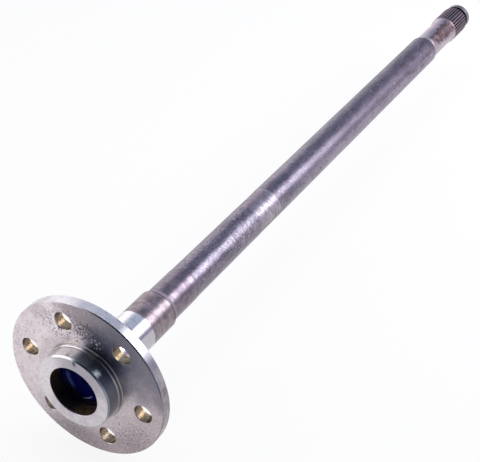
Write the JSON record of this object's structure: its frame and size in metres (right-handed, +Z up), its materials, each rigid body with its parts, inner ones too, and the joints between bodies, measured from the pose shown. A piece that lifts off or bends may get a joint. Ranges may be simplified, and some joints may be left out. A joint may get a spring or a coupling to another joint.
{
  "type": "axle shaft",
  "caption": "Semi-floating axle shaft: round wheel flange with stud holes and a recessed pilot, ground bearing seat, long plain shank, and a splined inner end with a retaining-clip groove.",
  "frame": {"origin": "centre of the flange's wheel face, on the shaft's axis", "axes": "+X along the shaft, from the wheel face to the splined end; +Z up; the shaft lies level, as it is carried in the axle"},
  "size_m": [0.8315, 0.1524, 0.1523],
  "materials": {
    "steel": "turned and ground steel, oiled, with a dull scale on the shank"
  },
  "bodies": {
    "root": {"axle_shaft": "steel"}
  },
  "joints": []
}
